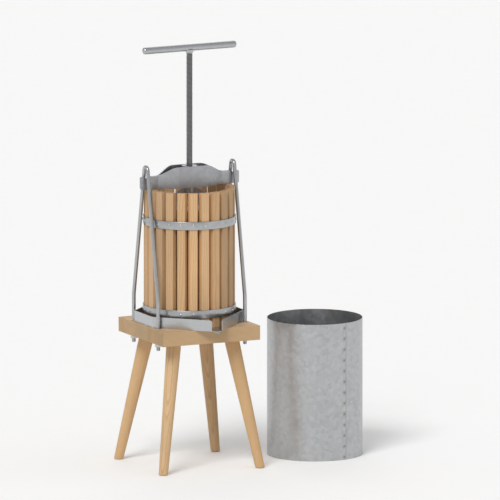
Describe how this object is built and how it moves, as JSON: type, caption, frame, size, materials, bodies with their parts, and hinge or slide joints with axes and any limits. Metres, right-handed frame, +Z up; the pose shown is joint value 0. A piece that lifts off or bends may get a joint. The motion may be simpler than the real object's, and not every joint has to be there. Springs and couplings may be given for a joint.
{
  "type": "fruit press",
  "caption": "Screw fruit press with a slatted wooden basket in a spouted sheet tray, held by bent rods on a four-legged wooden stool, with a loose splash sleeve.",
  "frame": {"origin": "on the floor, straight below the spindle and midway between the four feet", "axes": "+X along the crossbeam to the right, +Y to the back (the tray's spout faces -Y), +Z up along the spindle"},
  "size_m": [0.761, 0.4006, 1.3271],
  "materials": {
    "stool_wood": "oiled pine, end grain at two sides",
    "leg_wood": "oiled, turned",
    "slat_wood": "oiled beech, planed",
    "disc_wood": "oiled beech",
    "bar_wood": "oiled beech, darker with juice",
    "tray_sheet": "stainless sheet, satin",
    "sleeve_sheet": "stainless sheet, satin",
    "hoop_steel": "zinc-plated strap",
    "screw_steel": "zinc-plated",
    "rod_steel": "zinc-plated round bar",
    "washer_zinc": "zinc-plated",
    "beam_steel": "hot-dip galvanised",
    "foot_steel": "hot-dip galvanised",
    "spindle_steel": "bare steel, oiled",
    "handle_steel": "zinc-plated"
  },
  "bodies": {
    "stand": {"seat_plank": "stool_wood", "leg_front_left": "leg_wood", "leg_front_right": "leg_wood", "leg_back_left": "leg_wood", "leg_back_right": "leg_wood", "juice_tray": "tray_sheet", "drain_bar_left": "bar_wood", "drain_bar_middle": "bar_wood", "drain_bar_right": "bar_wood", "slat_01": "slat_wood", "slat_02": "slat_wood", "slat_03": "slat_wood", "slat_04": "slat_wood", "slat_05": "slat_wood", "slat_06": "slat_wood", "slat_07": "slat_wood", "slat_08": "slat_wood", "slat_09": "slat_wood", "slat_10": "slat_wood", "slat_11": "slat_wood", "slat_12": "slat_wood", "slat_13": "slat_wood", "slat_14": "slat_wood", "slat_15": "slat_wood", "slat_16": "slat_wood", "slat_17": "slat_wood", "slat_18": "slat_wood", "slat_19": "slat_wood", "slat_20": "slat_wood", "slat_21": "slat_wood", "slat_22": "slat_wood", "slat_23": "slat_wood", "lower_hoop": "hoop_steel", "upper_hoop": "hoop_steel", "lower_hoop_screws": "screw_steel", "upper_hoop_screws": "screw_steel", "left_hairpin": "rod_steel", "right_hairpin": "rod_steel", "upper_washers": "washer_zinc", "lower_washers": "washer_zinc", "rod_nuts": "washer_zinc"},
    "beam": {"front_cheek": "beam_steel", "back_cheek": "beam_steel", "spindle_nut": "beam_steel"},
    "press_foot": {"foot_plate": "foot_steel", "foot_socket": "foot_steel", "foot_gussets": "foot_steel", "foot_ribs": "foot_steel", "foot_screws": "screw_steel", "press_disc": "disc_wood"},
    "spindle": {"spindle": "spindle_steel", "handle_bar": "handle_steel", "handle_collar": "handle_steel"},
    "sleeve": {"splash_sleeve": "sleeve_sheet"}
  },
  "joints": [
    {"name": "beam_lift", "type": "slide", "parent": "stand", "child": "beam", "axis": [0, 0, 1], "range_m": [0, 0.028]},
    {"name": "plate_travel", "type": "slide", "parent": "beam", "child": "press_foot", "axis": [0, 0, 1], "range_m": [-0.3, 0]},
    {"name": "screw_turn", "type": "hinge", "parent": "press_foot", "child": "spindle", "pos_m": [0, 0, 0.8], "axis": [0, 0, 1], "range_deg": [-27000, 0]},
    {"name": "sleeve_lift", "type": "slide", "parent": "stand", "child": "sleeve", "axis": [0, 0, 1], "range_m": [0, 0.5]}
  ],
  "couplings": [
    {"joint": "plate_travel", "follows": "screw_turn", "m_per_rad": 0.00063662}
  ]
}
